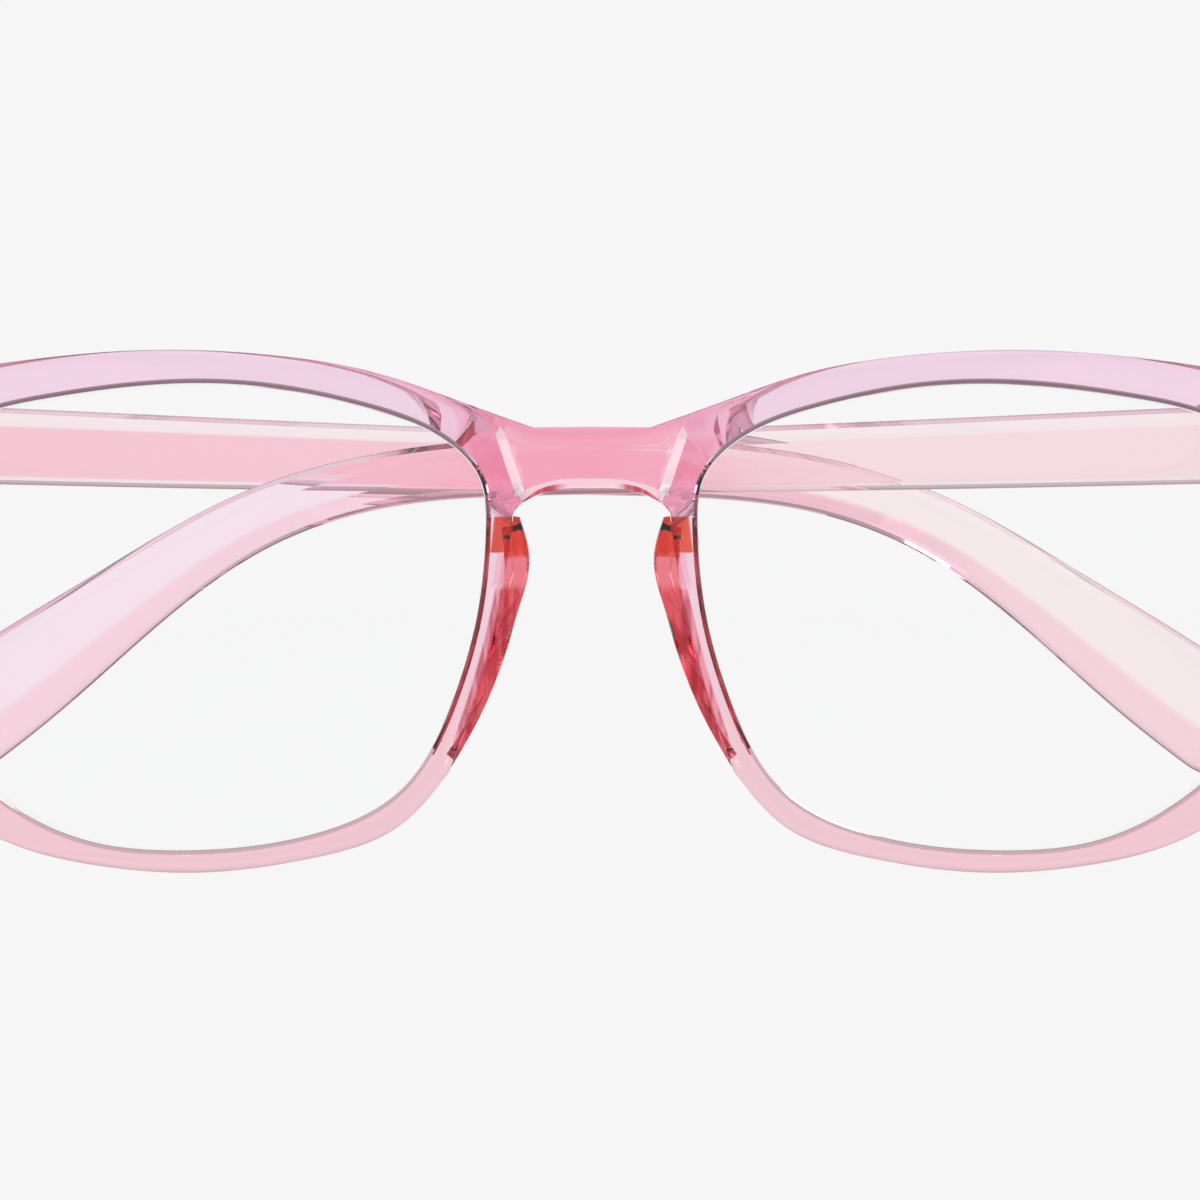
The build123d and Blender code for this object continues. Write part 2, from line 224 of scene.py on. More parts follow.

# Colours the plastic gives to light that passes through it, and painted light and shade where marked
WARM_PINK = (0.96, 0.67, 0.72)
LILAC = (0.96, 0.77, 0.89)
BRIDGE_PINK = (1.0, 0.95, 0.98)
BESIDE_BRIDGE = (0.94, 0.62, 0.74)
# Painted highlight: the near-white colour of the bridge's arch band and step strips, and how clear those
# faces stay
PAINTED_HIGHLIGHT = (1.0, 0.92, 0.96)
HIGHLIGHT_CLEARNESS = 0.5
# Painted shade for the dark lips of the openings and the front's outline
LIP_SHADE = (0.07, 0.02, 0.04)
# Painted shade along a temple's top and bottom edges
ARM_EDGE_SHADE = (0.60, 0.45, 0.52)
PAD_TOP_REDS = ((0.86, 0.10, 0.05), (0.64, 0.03, 0.02))
PAD_LONG_REDS = ((0.86, 0.17, 0.24), (0.42, 0.01, 0.035))
PAD_WAIST = (0.92, 0.40, 0.50)
FLOW_MARK = (0.9, 0.9, 0.9)
ARM_FLOW_MARK = (0.95, 0.9, 0.95)
ARM_BEVEL = (1.0, 0.99, 1.0)
LENS_TINTS = ((0.992, 0.996, 1.0), (1.0, 1.0, 1.0))
# What the plastic takes from light on its way through, and how much of it per metre
FRONT_VOLUME = ((0.98, 0.50, 0.72), 50.0)
ARM_VOLUME = ((0.99, 0.45, 0.59), 80.0)
PAD_VOLUME = ((0.97, 0.40, 0.36), 130.0)
# Colours of a temple: its straight part, its ear end with its painted highlight, that end's lower third and
# the bend's lower third
ARM_COLOURS = {
    "left": ((1.0, 0.86, 0.90), (1.0, 0.90, 0.96), (1.0, 0.74, 0.82), (1.0, 0.76, 0.85)),
    "right": ((1.0, 0.66, 0.75), (1.0, 0.98, 0.98), (0.98, 0.74, 0.81), (0.93, 0.58, 0.69)),
}

# Where painted parts of the plastic begin and end. Each pair is where a change starts and where it is
# complete, in metres: heights, distances past the bridge's step, or distances in from the nasal edge
BROW_FADE = (0.008, 0.034)
BRIDGE_SIDE = (0.0001, -0.0002)
BRIDGE_LOW = (0.0325, 0.0331)
BESIDE_FAR = (0.0034, 0.0028)
BESIDE_NEAR = (0.0004, 0.0006)
BESIDE_LOW = (0.0346, 0.0350)
BESIDE_HIGH = (0.0388, 0.0380)
BLOCK_LOW = (0.0283, 0.0285)
BLOCK_HIGH = (0.0317, 0.0315)
BLOCK_IN = (0.0017, 0.0016)
BORDER_LOW = (0.0105, 0.0125)
BORDER_HIGH = (0.0258, 0.0250)
BORDER_IN = (0.0008, 0.0006)
WAIST_LOW = (0.0250, 0.0258)
WAIST_HIGH = (0.0285, 0.0283)
WAIST_IN = (0.0012, 0.0008)
# How the lips' painted shade weakens to half towards the bottom
LIP_FADE = (0.004, 0.03)
# The red sliver over the arch: heights above the arch's edge, distances from the middle, and a height
SLIVER_ABOVE = (0.0005, 0.0004)
SLIVER_INNER = (0.0020, 0.0034)
SLIVER_OUTER = (0.0062, 0.0058)
SLIVER_LOW = (0.0322, 0.0324)
PAD_TOP_LOW = (0.0279, 0.0281)
# The nasal edge from its top down: Z at the top, X there, its slope and how it curves outwards
NASAL_EDGE = (0.0317, 0.007, 0.085, 7.3)
# The arch's top, and how fast its edge falls with the fourth power of the distance from the middle
ARCH_TOP = 0.0341
ARCH_FALL = 33.0
# Streaks in the reds: where the noise turns from one red to the other, along the pad and at its top
STREAKS = (0.42, 0.6)
TOP_STREAKS = (0.4, 0.6)

# Where the bands of a temple begin and end, as shares of its height or of its length
BAND_LOW = (0.09, 0.13)
BAND_HIGH = (0.79, 0.74)
EAR_LOW = (0.40, 0.30)
EAR_START = (0.48, 0.66)
BEND_START = (0.50, 0.60)
BEND_END = (0.82, 0.64)
BEND_LOW = (0.34, 0.26)
# Where the painted shade along the edges begins, as shares of the height
EDGE_LOW = (0.035, 0.015)
EDGE_HIGH = (0.970, 0.990)


def cubic(points, closed=False):
    """Parameters and second derivatives of a smooth curve through the points."""
    p = np.array(points, float)
    if closed:
        p = np.vstack([p, p[:1]])
    t = np.concatenate([[0], np.cumsum(np.linalg.norm(np.diff(p, axis=0), axis=1))])
    n, h = len(p), np.diff(t)
    a, r = np.zeros((n, n)), np.zeros((n, p.shape[1]))
    for i in range(1, n - 1):
        a[i, i - 1: i + 2] = h[i - 1], 2 * (h[i - 1] + h[i]), h[i]
        r[i] = 6 * ((p[i + 1] - p[i]) / h[i] - (p[i] - p[i - 1]) / h[i - 1])
    if closed:
        a[0, 0], a[0, -1] = 1, -1
        a[-1, 0], a[-1, 1] = 2 * h[0], h[0]
        a[-1, -2], a[-1, -1] = h[-1], 2 * h[-1]
        r[-1] = 6 * ((p[1] - p[0]) / h[0] - (p[-1] - p[-2]) / h[-1])
    else:
        a[0, 0] = a[-1, -1] = 1
    return p, t, np.linalg.solve(a, r)


def along(curve, where):
    """The curve's points at the parameters given."""
    p, t, m = curve
    i = np.clip(np.searchsorted(t, where, side="right") - 1, 0, len(t) - 2)
    h = (t[i + 1] - t[i])[:, None]
    u, v = (where - t[i])[:, None], (t[i + 1] - where)[:, None]
    return (m[i] * v**3 + m[i + 1] * u**3) / (6 * h) + (p[i] / h - m[i] * h / 6) * v + (
        p[i + 1] / h - m[i + 1] * h / 6) * u


def sampled(points, step=SAMPLE_STEP, closed=False):
    """Evenly spaced points of the smooth curve through the points, without its last."""
    curve = cubic(points, closed)
    length = curve[1][-1]
    count = max(2, int(round(length / step)))
    return along(curve, np.linspace(0, length, count + 1))[:-1]


def straight(a, b, step=SAMPLE_STEP):
    """Evenly spaced points from a on, without b."""
    count = max(1, int(round(math.dist(a, b) / step)))
    return np.array([np.array(a) + (np.array(b) - np.array(a)) * i / count for i in range(count)])


def rounded(a, corner, b, count=5):
    """A curved corner that starts at a and ends before b."""
    a, corner, b = np.array(a), np.array(corner), np.array(b)
    ts = np.arange(count) / count
    return np.array([(1 - t) ** 2 * a + 2 * t * (1 - t) * corner + t * t * b for t in ts])


def outline_half():
    """The left half of the front's outer edge, from the top of the bridge round to the top of the arch."""
    return np.vstack([
        straight(BRIDGE_TOP, BROW_START),
        sampled([BROW_START] + BROW),
        straight(BROW[-1], END_TOP),
        rounded(END_TOP, END_TOP_CORNER, END_SIDE_TOP),
        straight(END_SIDE_TOP, END_SIDE_FOOT),
        rounded(END_SIDE_FOOT, END_FOOT_CORNER, END_UNDERSIDE),
        rounded(END_UNDERSIDE, RIM_CORNER, LOWER_RIM[0], 8),
        sampled(LOWER_RIM),
        sampled(NASAL_RIM),
        rounded(NASAL_RIM[-1], ARCH_CORNER, ARCH[0], 12),
        sampled(ARCH, ARCH_SAMPLE_STEP),
    ])


def shifted(loop, amount):
    """A closed clockwise loop with every point moved outwards."""
    run = np.roll(loop, -1, 0) - np.roll(loop, 1, 0)
    run /= np.linalg.norm(run, axis=1)[:, None]
    return loop + amount * np.stack([-run[:, 1], run[:, 0]], 1)


def bow(x):
    """How far the front has curved back at a distance from the middle."""
    return BOW_RADIUS - np.sqrt(BOW_RADIUS**2 - np.asarray(x, float) ** 2)


def ramp(value, low, high):
    """A smooth change from 0 to 1 as the value goes from low to high."""
    t = np.clip((np.asarray(value, float) - low) / (high - low), 0, 1)
    return t * t * (3 - 2 * t)


def step_x(z, aside=0.0):
    """Where the slanting step between bridge and rim lies at a height."""
    (x1, z1), (x0, z0) = STEP_TOP, STEP_FOOT
    return x0 + (z - z0) * (x1 - x0) / (z1 - z0) + aside


def front_y(x, z):
    """Front surface: bowed, and set back between the two steps of the bridge."""
    side = np.abs(x)
    into = np.clip((step_x(z, STEP_WIDTH / 2) - side) / STEP_WIDTH, 0, 1) * (z > BRIDGE_FOOT_Z)
    return bow(x) + STEP_DEPTH * into


def rear_y(x, z):
    """Rear surface: thicker behind the bridge, and flat and thicker at the hinges."""
    side = np.abs(x)
    bridge = (1 - ramp(side, *BRIDGE_THICK_X)) * ramp(z, *BRIDGE_THICK_Z)
    plain = bow(x) + THICKNESS + BRIDGE_EXTRA * bridge
    before, past = END_EASE_X
    end = ramp(side, END_INNER_X - before, END_INNER_X + past)
    end = end * ramp(z, END_BOTTOM_Z, END_BOTTOM_Z + END_EASE_Z)
    end = end * (1 - ramp(z, END_TOP_Z - END_EASE_Z, END_TOP_Z))
    return plain + (END_REAR_Y - END_CLEARANCE - plain) * end


def mesh_piece(name, verts, faces, body, node=None, angle=32.0, uvs=None, paint=None):
    """A piece from points in millimetres, shaded smooth up to an angle, riding on a body.

    Its UV map holds a value pair for each point, or for each face as paint gives it."""
    data = bpy.data.meshes.new(name)
    data.from_pydata([tuple(np.array(v) * MM) for v in verts], [], [tuple(f) for f in faces])
    if uvs is not None:
        layer = data.uv_layers.new(name="marks")
        for loop in data.loops:
            layer.data[loop.index].uv = uvs[loop.vertex_index]
    work = bmesh.new()
    work.from_mesh(data)
    bmesh.ops.remove_doubles(work, verts=work.verts, dist=1e-7)
    bmesh.ops.recalc_face_normals(work, faces=work.faces)
    for edge in work.edges:
        sharp = len(edge.link_faces) == 2 and edge.calc_face_angle(0.0) > math.radians(angle)
        edge.smooth = not sharp
    layer = work.loops.layers.uv.new("marks") if paint else None
    for face in work.faces:
        face.smooth = True
        if paint:
            pair = paint(face.calc_center_median() / MM, face.normal)
            for loop in face.loops:
                loop[layer].uv = pair
    work.to_mesh(data)
    work.free()
    piece = bpy.data.objects.new(name, data)
    bpy.context.scene.collection.objects.link(piece)
    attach(piece, body)
    if node:
        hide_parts(node)
    return piece


def strip(faces, first, second, count):
    """Quads between two closed rings of the same number of points."""
    for i in range(count):
        j = (i + 1) % count
        faces.append((first + i, first + j, second + j, second + i))


def build_front(material):
    """The front: its outer edge, two openings with their grooves, and two broad faces."""
    half = outline_half()
    mirrored = (half * [-1, 1])[::-1]
    outer = np.vstack([half, ARCH[-1:], mirrored[:-1]])
    right_loop = sampled(APERTURE, closed=True)
    loops = [outer, right_loop, (right_loop * [-1, 1])[::-1]]
    verts, faces, inset_front, inset_back = [], [], [], []
    for k, loop in enumerate(loops):
        wide, bevel = OPENING_BEVEL if k else EDGE_BEVEL
        inset = shifted(loop, wide if k else -wide)
        f, r = front_y(loop[:, 0], loop[:, 1]), rear_y(loop[:, 0], loop[:, 1])
        rings = [(inset, front_y(inset[:, 0], inset[:, 1]))]
        # A thin ring at the outer edge, which carries the outline's painted shade
        if not k:
            rings.append((shifted(loop, -OUTLINE), f + bevel * (1 - OUTLINE / wide)))
        rings.append((loop, f + bevel))
        if k:
            groove = shifted(loop, GROOVE_DEPTH)
            middle = bow(loop[:, 0]) + LENS_MIDDLE_Y
            rings += [(loop, middle - GROOVE_HALF), (groove, middle), (loop, middle + GROOVE_HALF)]
        rings += [(loop, r - bevel), (inset, rear_y(inset[:, 0], inset[:, 1]))]
        starts = []
        for points, ys in rings:
            starts.append(len(verts))
            verts.extend(zip(points[:, 0], ys, points[:, 1]))
        for a, b in zip(starts, starts[1:]):
            strip(faces, a, b, len(loop))
        inset_front.append((starts[0], inset))
        inset_back.append((starts[-1], inset))
    for insets, surface in ((inset_front, front_y), (inset_back, rear_y)):
        fill(verts, faces, insets, surface, surface is front_y)
    verts = [(x, y + FRONT_Y, z) for x, y, z in verts]
    rims = np.vstack(loops[1:])

    def paint(centre, normal):
        """First value: bevels of the bridge with a painted highlight. Second value: how much painted shade a
        lip or outline gets.
        """
        x, z = abs(centre.x), centre.z
        if not LEANING[0] < normal.y < LEANING[1]:
            return 0, 0
        on_arch = normal.z < ARCH_FACING and x < ARCH_HALF and ARCH_Z[0] < z < ARCH_Z[1]
        on_step = abs(x - step_x(z)) < STEP_WIDTH / 2 + STEP_MARGIN
        on_step = on_step and STEP_PALE_Z[0] < z < STEP_PALE_Z[1]
        on_lip = np.hypot(rims[:, 0] - centre.x, rims[:, 1] - centre.z).min() < LIP_REACH
        on_lip = on_lip and centre.y - FRONT_Y - bow(centre.x) < LIP_DEPTH
        on_outline = np.hypot(outer[:, 0] - centre.x, outer[:, 1] - centre.z).min() < OUTLINE_REACH
        on_outline = on_outline and normal.y > OUTLINE_LEAN and not on_arch
        return float(on_arch or on_step), 1.0 if on_lip else OUTLINE_SHADE_SHARE * on_outline

    piece = mesh_piece("front_shell", verts, faces, "front", "front_frame", paint=paint)
    piece.data.materials.append(material)


def fill(verts, faces, insets, surface, stepped):
    """Triangles over one broad face of the front, between its outer loop and its two openings."""
    points, edges, known = [], [], []
    for start, loop in insets:
        base = len(points)
        points.extend(Vector(p) for p in loop)
        known.extend(range(start, start + len(loop)))
        edges.extend((base + i, base + (i + 1) % len(loop)) for i in range(len(loop)))
    if stepped:
        for sign in (1, -1):
            for aside in (-STEP_WIDTH / 2, STEP_WIDTH / 2):
                base = len(points)
                heights = np.linspace(*STEP_LINE_Z)
                points.extend(Vector((sign * step_x(z, aside), z)) for z in heights)
                edges.extend((base + i, base + i + 1) for i in range(len(heights) - 1))
    grid = np.arange(-BRIDGE_GRID_X, BRIDGE_GRID_X + 0.01, BRIDGE_GRID_STEP)
    clear = BRIDGE_GRID_STEP
    points.extend(Vector((x, z)) for x in grid for z in BRIDGE_GRID_Z if abs(abs(x) - step_x(z)) > clear)
    across = np.arange(END_INNER_X - END_EASE_X[0], END_GRID_X, END_GRID_STEP)
    up = np.arange(END_GRID_Z, END_TOP_Z, END_GRID_STEP)
    for sign in (1, -1):
        points.extend(Vector((sign * x, z)) for x in across for z in up)
    out, _, tris, original, _, _ = delaunay_2d_cdt(points, edges, [], 0, 1e-6)
    index = []
    for i, p in enumerate(out):
        source = original[i]
        if source and source[0] < len(known):
            index.append(known[source[0]])
        else:
            index.append(len(verts))
            verts.append((p.x, float(surface(p.x, p.y)), p.y))
    outer, holes = insets[0][1], [loop for _, loop in insets[1:]]
    for tri in tris:
        middle = sum((out[i] for i in tri), Vector((0, 0))) / 3
        if inside(middle, outer) and not any(inside(middle, hole) for hole in holes):
            faces.append(tuple(index[i] for i in tri))


def inside(point, loop):
    """Whether a point lies inside a closed loop."""
    x, z = point
    a, b = loop, np.roll(loop, -1, 0)
    crossing = (a[:, 1] > z) != (b[:, 1] > z)
    with np.errstate(divide="ignore", invalid="ignore"):
        at = a[:, 0] + (z - a[:, 1]) * (b[:, 0] - a[:, 0]) / (b[:, 1] - a[:, 1])
    return bool(np.count_nonzero(crossing & (x < at)) % 2)


def lens_ring(loop, share):
    """Points of the lens on its way from the middle to its edge, and the middle surface's Y there."""
    centre = loop.mean(0)
    points = centre + (loop - centre) * share
    return points, bow(points[:, 0]) + LENS_MIDDLE_Y - LENS_BULGE * (1 - share**2)


def build_lens(name, side, material):
    """A thin lens whose bevelled edge sits in the groove."""
    loop = sampled(APERTURE, LENS_SAMPLE_STEP, closed=True)
    loop = loop if side > 0 else (loop * [-1, 1])[::-1]
    edge = shifted(loop, -LENS_GAP)
    half = LENS_THICKNESS / 2
    shares = [0.02] + list(np.linspace(0.1, 1.0, 16))
    rings = []
    for share in shares:
        points, y = lens_ring(edge, share)
        rings.append((points, y - half))
    rim_y = bow(edge[:, 0]) + LENS_MIDDLE_Y
    rings += [
        (edge, rim_y - LENS_BEVEL_HALF),
        (shifted(loop, LENS_BEVEL), rim_y),
        (edge, rim_y + LENS_BEVEL_HALF),
    ]
    for share in reversed(shares):
        points, y = lens_ring(edge, share)
        rings.append((points, y + half))
    verts, faces = closed_rings(rings)
    piece = mesh_piece(name, verts, faces, "front", name.replace("clear_", ""), angle=50)
    piece.data.materials.append(material)


def closed_rings(rings):
    """A closed skin over rings of X-Z points and their Y values, capped at both ends."""
    verts, faces, count = [], [], len(rings[0][0])
    for points, ys in rings:
        ys = np.broadcast_to(ys, count)
        verts.extend(zip(points[:, 0], ys + FRONT_Y, points[:, 1]))
    for k in range(len(rings) - 1):
        strip(faces, k * count, (k + 1) * count, count)
    faces.append(tuple(range(count)))
    faces.append(tuple(range((len(rings) - 1) * count, len(rings) * count)))
    return verts, faces


def build_pad(name, side, material):
    """A fin beside the rim that spreads outwards behind it."""
    nasal = sampled(PAD_NASAL, PAD_SAMPLE_STEP)
    outer = sampled(PAD_OUTER, PAD_SAMPLE_STEP)
    rim = cubic(NASAL_RIM)
    beside = along(rim, np.linspace(0.3, rim[1][-1], len(outer)))
    beside[:, 0] -= PAD_GAP

    def ring(y, hug, inset=0.0):
        part = (y - PAD_FRONT_Y) / (PAD_REAR_Y - PAD_FRONT_Y)
        inner = nasal + [PAD_NASAL_SPLAY * part, 0]
        back = beside + 0 if hug else outer + [PAD_OUTER_SPLAY * part, 0]
        for edge in (inner, back):
            edge[:, 1] -= PAD_SHRINK * part * (edge[:, 1] - PAD_SHRINK_Z)
        if hug:
            edge = np.interp(inner[:, 1], beside[:, 1], beside[:, 0])
            inner[:, 0] = np.minimum(inner[:, 0], edge - PAD_LEAST)
        loop = np.vstack([inner, back])
        centre = loop.mean(0)
        if inset:
            away = loop - centre
            size = np.linalg.norm(away, axis=1)[:, None]
            loop = centre + away * (1 - np.minimum(inset / size, 0.5))
        return loop * [side, 1], y

    behind = float(bow(8)) + THICKNESS + PAD_GAP
    rings = [ring(PAD_FRONT_Y, True, PAD_FRONT_ROUND), ring(PAD_FRONT_Y + PAD_FRONT_ROUND, True)]
    rings += [ring(behind, True), ring(behind + 0.01, False)]
    rings += [ring(y, False) for y in np.linspace(behind + 0.8, PAD_REAR_Y - PAD_REAR_START, 6)]
    rings += [ring(PAD_REAR_Y - before, False, inset) for inset, before in PAD_REAR_ROUND]
    verts, faces = closed_rings(rings)
    piece = mesh_piece(name, verts, faces, "front", name.replace("bridge_", "nose_"), 40)
    piece.data.materials.append(material)


def joint(name):
    """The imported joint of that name."""
    return next(j for j in frame["joints"] if j["name"] == name)


def build_spring(name, side_name, material):
    """The coil: a copy of its CAD shape in spring steel, in place of the hidden CAD part. On the real
    glasses it shortens as the temple is pulled, its bush end following the temple and its nut end the rod.
    """
    node = frame["nodes"][f"hinge_spring_{side_name}"]
    spring = bpy.data.objects.new(name, node.data.copy())
    spring.matrix_world = node.matrix_world.copy()
    bpy.context.scene.collection.objects.link(spring)
    spring.data.materials.clear()
    spring.data.materials.append(material)
    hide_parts(f"hinge_spring_{side_name}")
    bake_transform(spring)


def arm_thickness(s):
    """Thickness of the temple at a distance from the hinge axis."""
    return np.interp(s, ARM_TAPER_S, ARM_TAPER)


def arm_section(height, thick):
    """Corners of the arm's section: height up from the middle, and depth out from its inner face."""
    scale = min(1.0, height / SECTION_FULL)
    half, small = height / 2, INNER_BEVEL * scale
    top_wide, top_deep = (size * scale for size in TOP_BEVEL)
    low_wide, low_deep = (size * scale for size in LOW_BEVEL)
    fall = LOW_FALL * scale
    return [
        (-half + small, 0.0),
        (half - 1.2 * small, 0.0),
        (half, small),
        (half, thick - top_deep),
        (half - top_wide, thick),
        (-height * RIDGE, thick),
        (-half + low_wide, thick - fall),
        (-half, thick - fall - low_deep),
        (-half, small),
    ]


def build_arm(name, side_name, material):
    """A temple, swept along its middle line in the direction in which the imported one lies."""
    side = SIDES[side_name]
    pivot = Vector(joint(f"temple_{side_name}_fold")["pos_m"]) / MM
    run = Vector(joint(f"temple_{side_name}_flex")["axis"]).normalized()
    out = Vector((side * run.y, -side * run.x, 0.0))
    curve = cubic(ARM_LINE)
    length = curve[1][-1]
    turn = np.linspace(0, math.pi / 2, TIP_STATIONS)[1:]
    stations = np.concatenate([
        np.linspace(0, length - TIP_ROUND, ARM_STATIONS),
        length - TIP_ROUND * (1 - np.sin(turn)),
    ])
    line = along(curve, stations)
    smooth = cubic([(t, h) for t, h in zip(curve[1], ARM_HEIGHT)])
    heights = np.interp(stations, *along(smooth, np.linspace(0, smooth[1][-1], 400)).T)
    near_tip = np.clip((stations - (length - TIP_ROUND)) / TIP_ROUND, 0, 1)
    heights = heights * np.sqrt(np.clip(1 - near_tip**2, TIP_LEAST, 1))
    ahead = np.gradient(line, axis=0)
    ahead /= np.linalg.norm(ahead, axis=1)[:, None]
    verts, faces, uvs = [], [], []
    for (s, z), (ds, dz), height, reach in zip(line, ahead, heights, stations):
        thick = float(arm_thickness(s))
        for up, depth in arm_section(height, thick):
            place = pivot + run * (s - up * dz) + out * (ARM_INSET + depth)
            verts.append((place.x, place.y, z + up * ds))
            uvs.append((reach / length, up / height + 0.5))
    count = len(verts) // len(line)
    for k in range(len(line) - 1):
        strip(faces, k * count, (k + 1) * count, count)
    faces.append(tuple(range(count)))
    faces.append(tuple(range((len(line) - 1) * count, len(line) * count)))
    node = f"temple_{side_name}"
    piece = mesh_piece(name, verts, faces, f"arm_{side_name}", node, 12, uvs)
    piece.data.materials.append(material)


class Shader:
    """A material with a Principled shader, and short ways to add the nodes that drive it."""

    def __init__(self, name):
        self.material = bpy.data.materials.new(name)
        self.material.use_nodes = True
        self.tree = self.material.node_tree
        self.shader = self.tree.nodes["Principled BSDF"]
        coords = self.add("ShaderNodeTexCoord")
        self.place, self.marks = coords.outputs["Object"], coords.outputs["UV"]

    def add(self, kind, **values):
        node = self.tree.nodes.new(kind)
        for key, value in values.items():
            setattr(node, key, value)
        return node

    def feed(self, socket, value):
        if isinstance(value, bpy.types.NodeSocket):
            self.tree.links.new(value, socket)
        else:
            socket.default_value = value

    def set(self, **values):
        for key, value in values.items():
            self.feed(self.shader.inputs[key.replace("_", " ")], value)

    def math(self, operation, first, second=0.0):
        node = self.add("ShaderNodeMath", operation=operation)
        self.feed(node.inputs[0], first)
        self.feed(node.inputs[1], second)
        return node.outputs[0]

    def product(self, first, *others):
        """All the values multiplied together."""
        for other in others:
            first = self.math("MULTIPLY", first, other)
        return first

    def rise(self, value, low, high, bottom=0.0, top=1.0):
        """A smooth change from bottom to top as the value goes from low to high."""
        node = self.add("ShaderNodeMapRange", interpolation_type="SMOOTHSTEP")
        keys = ("Value", "From Min", "From Max", "To Min", "To Max")
        for key, item in zip(keys, (value, low, high, bottom, top)):
            self.feed(node.inputs[key], item)
        return node.outputs["Result"]

    def mix(self, share, first, second):
        node = self.add("ShaderNodeMix", data_type="RGBA")
        self.feed(node.inputs[0], share)
        self.feed(node.inputs[6], first if isinstance(first, bpy.types.NodeSocket) else (*first, 1))
        self.feed(node.inputs[7], second if isinstance(second, bpy.types.NodeSocket) else (*second, 1))
        return node.outputs[2]

    def axes(self, source=None):
        split = self.add("ShaderNodeSeparateXYZ")
        self.tree.links.new(source or self.place, split.inputs[0])
        return split.outputs

    def noise(self, scale, detail=3.0, stretch=(1, 1, 1)):
        node = self.add("ShaderNodeTexNoise")
        mapping = self.add("ShaderNodeMapping")
        mapping.inputs["Scale"].default_value = stretch
        self.tree.links.new(self.place, mapping.inputs["Vector"])
        self.tree.links.new(mapping.outputs["Vector"], node.inputs["Vector"])
        self.feed(node.inputs["Scale"], scale)
        self.feed(node.inputs["Detail"], detail)
        return node.outputs[0]

    def absorb(self, colour, density):
        """Tint by how much of the plastic light crosses; density is per metre."""
        volume = self.add("ShaderNodeVolumeAbsorption")
        volume.inputs["Color"].default_value = (*colour, 1)
        volume.inputs["Density"].default_value = density
        output = self.tree.nodes["Material Output"]
        self.tree.links.new(volume.outputs["Volume"], output.inputs["Volume"])


def clear_plastic(name, colour, density):
    """Clear moulded plastic with faint flow marks."""
    kit = Shader(name)
    marks = kit.noise(60.0)
    kit.set(IOR=1.49, Transmission_Weight=1.0, Roughness=kit.rise(marks, 0.2, 0.8, 0.01, 0.05))
    kit.absorb(colour, density)
    return kit, marks


def front_plastic():
    """Pink plastic: bluish on the brow, warmer under the lenses, reddened beside the nose pads, with painted
    shade on lips and outline and painted highlights on the bridge's bevels.
    """
    kit, flow = clear_plastic("pink_frame_plastic", *FRONT_VOLUME)
    x, _, z = kit.axes()
    # UV marks: X is the painted highlight on the bridge's bevels, Y the painted shade of lips and outline
    pale, shaded, _ = kit.axes(kit.marks)
    side = kit.math("ABSOLUTE", x)
    colour = kit.mix(kit.rise(z, *BROW_FADE), WARM_PINK, LILAC)
    (x1, z1), (x0, z0) = STEP_TOP, STEP_FOOT
    slant = (x1 - x0) / (z1 - z0)
    past = kit.math("SUBTRACT", side, kit.product(z, slant))
    past = kit.math("SUBTRACT", past, (x0 - z0 * slant) * MM)
    bridge = kit.product(kit.rise(past, *BRIDGE_SIDE), kit.rise(z, *BRIDGE_LOW))
    colour = kit.mix(bridge, colour, BRIDGE_PINK)
    beside = kit.product(kit.rise(past, *BESIDE_FAR), kit.rise(past, *BESIDE_NEAR))
    heights = kit.product(kit.rise(z, *BESIDE_LOW), kit.rise(z, *BESIDE_HIGH))
    colour = kit.mix(kit.product(beside, heights), colour, BESIDE_BRIDGE)
    top_z, top_x, slope, curving = NASAL_EDGE
    drop = kit.math("SUBTRACT", top_z, z)
    curve = kit.product(drop, drop, curving)
    edge = kit.math("ADD", kit.math("ADD", kit.product(drop, slope), curve), top_x)
    inward = kit.math("SUBTRACT", side, edge)
    streaks = kit.noise(1300.0, 5.0, (1.0, 0.35, 0.14))
    top_red = kit.mix(kit.rise(streaks, *TOP_STREAKS), *PAD_TOP_REDS)
    long_red = kit.mix(kit.rise(streaks, *STREAKS), *PAD_LONG_REDS)
    for low, high, reach, paint in (
        (BLOCK_LOW, BLOCK_HIGH, BLOCK_IN, top_red),
        (BORDER_LOW, BORDER_HIGH, BORDER_IN, long_red),
        (WAIST_LOW, WAIST_HIGH, WAIST_IN, PAD_WAIST),
    ):
        mask = kit.product(kit.rise(z, *low), kit.rise(z, *high), kit.rise(inward, *reach))
        colour = kit.mix(mask, colour, paint)
    # Painted shade: lips round the openings and the front's outline darkened, half as dark low down
    colour = kit.mix(kit.product(shaded, kit.rise(z, *LIP_FADE, 0.5, 1.0)), colour, LIP_SHADE)
    # Painted highlight: the arch band and the steps' strips are turned near white
    colour = kit.mix(pale, colour, PAINTED_HIGHLIGHT)
    fall = kit.math("POWER", kit.product(side, ARCH_FALL), 4.0)
    above = kit.math("SUBTRACT", kit.math("ADD", z, fall), ARCH_TOP)
    sliver = kit.product(
        kit.rise(above, *SLIVER_ABOVE),
        kit.rise(side, *SLIVER_INNER),
        kit.rise(side, *SLIVER_OUTER),
        kit.rise(z, *SLIVER_LOW),
    )
    colour = kit.mix(sliver, colour, long_red)
    kit.set(Base_Color=kit.mix(kit.product(flow, 0.05), colour, FLOW_MARK))
    # The painted highlight faces let less light through, so their pale colour shows
    kit.set(Transmission_Weight=kit.rise(pale, 0.0, 1.0, 1.0, HIGHLIGHT_CLEARNESS))
    return kit.material


